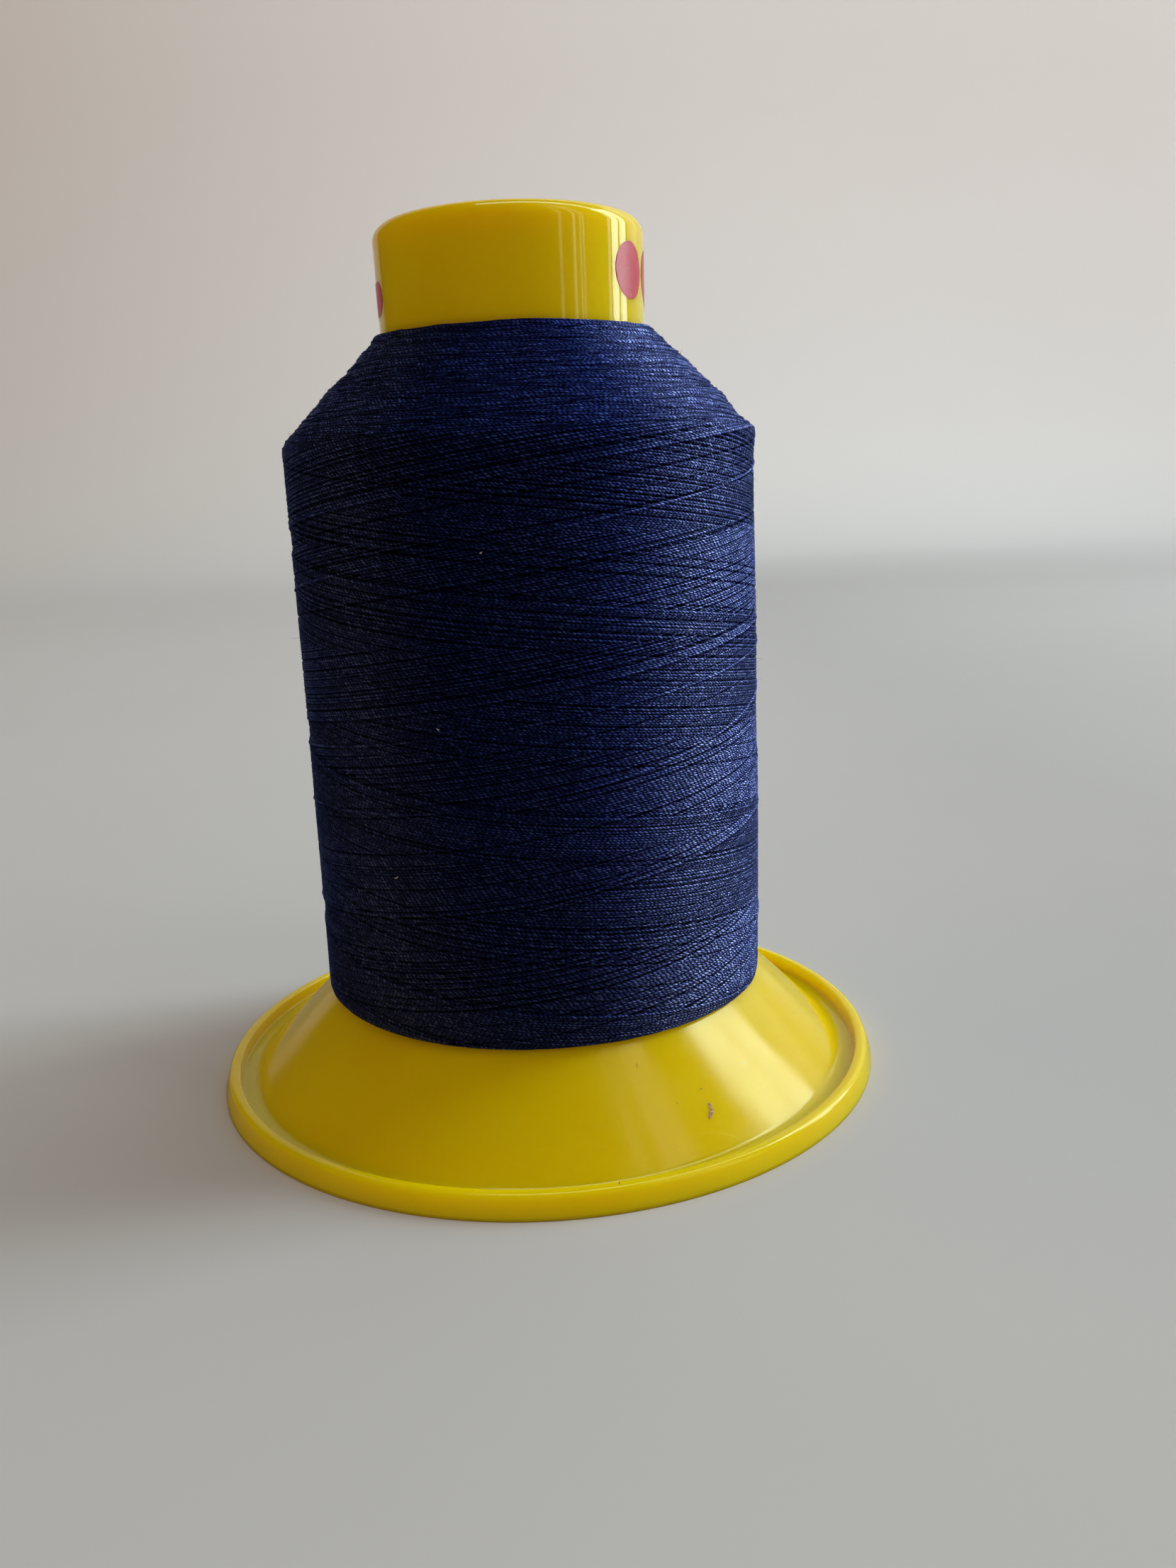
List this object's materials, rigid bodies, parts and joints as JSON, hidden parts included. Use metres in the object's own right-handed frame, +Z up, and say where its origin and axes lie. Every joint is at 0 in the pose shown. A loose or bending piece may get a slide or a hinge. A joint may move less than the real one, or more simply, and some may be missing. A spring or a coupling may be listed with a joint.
{
  "type": "spool of thread",
  "caption": "Free-standing foot spool of navy sewing thread on a yellow plastic barrel with a rounded nose and a conical snap-lock foot.",
  "frame": {"origin": "on the spool's axis, at the plane the foot stands on", "axes": "+Z up along the spool's axis, from the foot to the nose; X and Y are arbitrary, with the pictured side facing -Y"},
  "size_m": [0.072, 0.072, 0.0876],
  "materials": {
    "foot_plastic": "moulded yellow plastic, satin gloss, slightly translucent",
    "barrel_plastic": null,
    "navy_thread": "plied, cross-wound navy sewing thread, matt with a soft sheen",
    "label_paper": "plain uncoated paper ring"
  },
  "bodies": {
    "foot": {"foot": "foot_plastic"},
    "spool": {"barrel": "barrel_plastic", "thread_package": "navy_thread", "nose_label": "label_paper"}
  },
  "joints": [
    {"name": "thread_lock", "type": "slide", "parent": "foot", "child": "spool", "axis": [0, 0, 1], "range_m": [0, 0.003]}
  ]
}
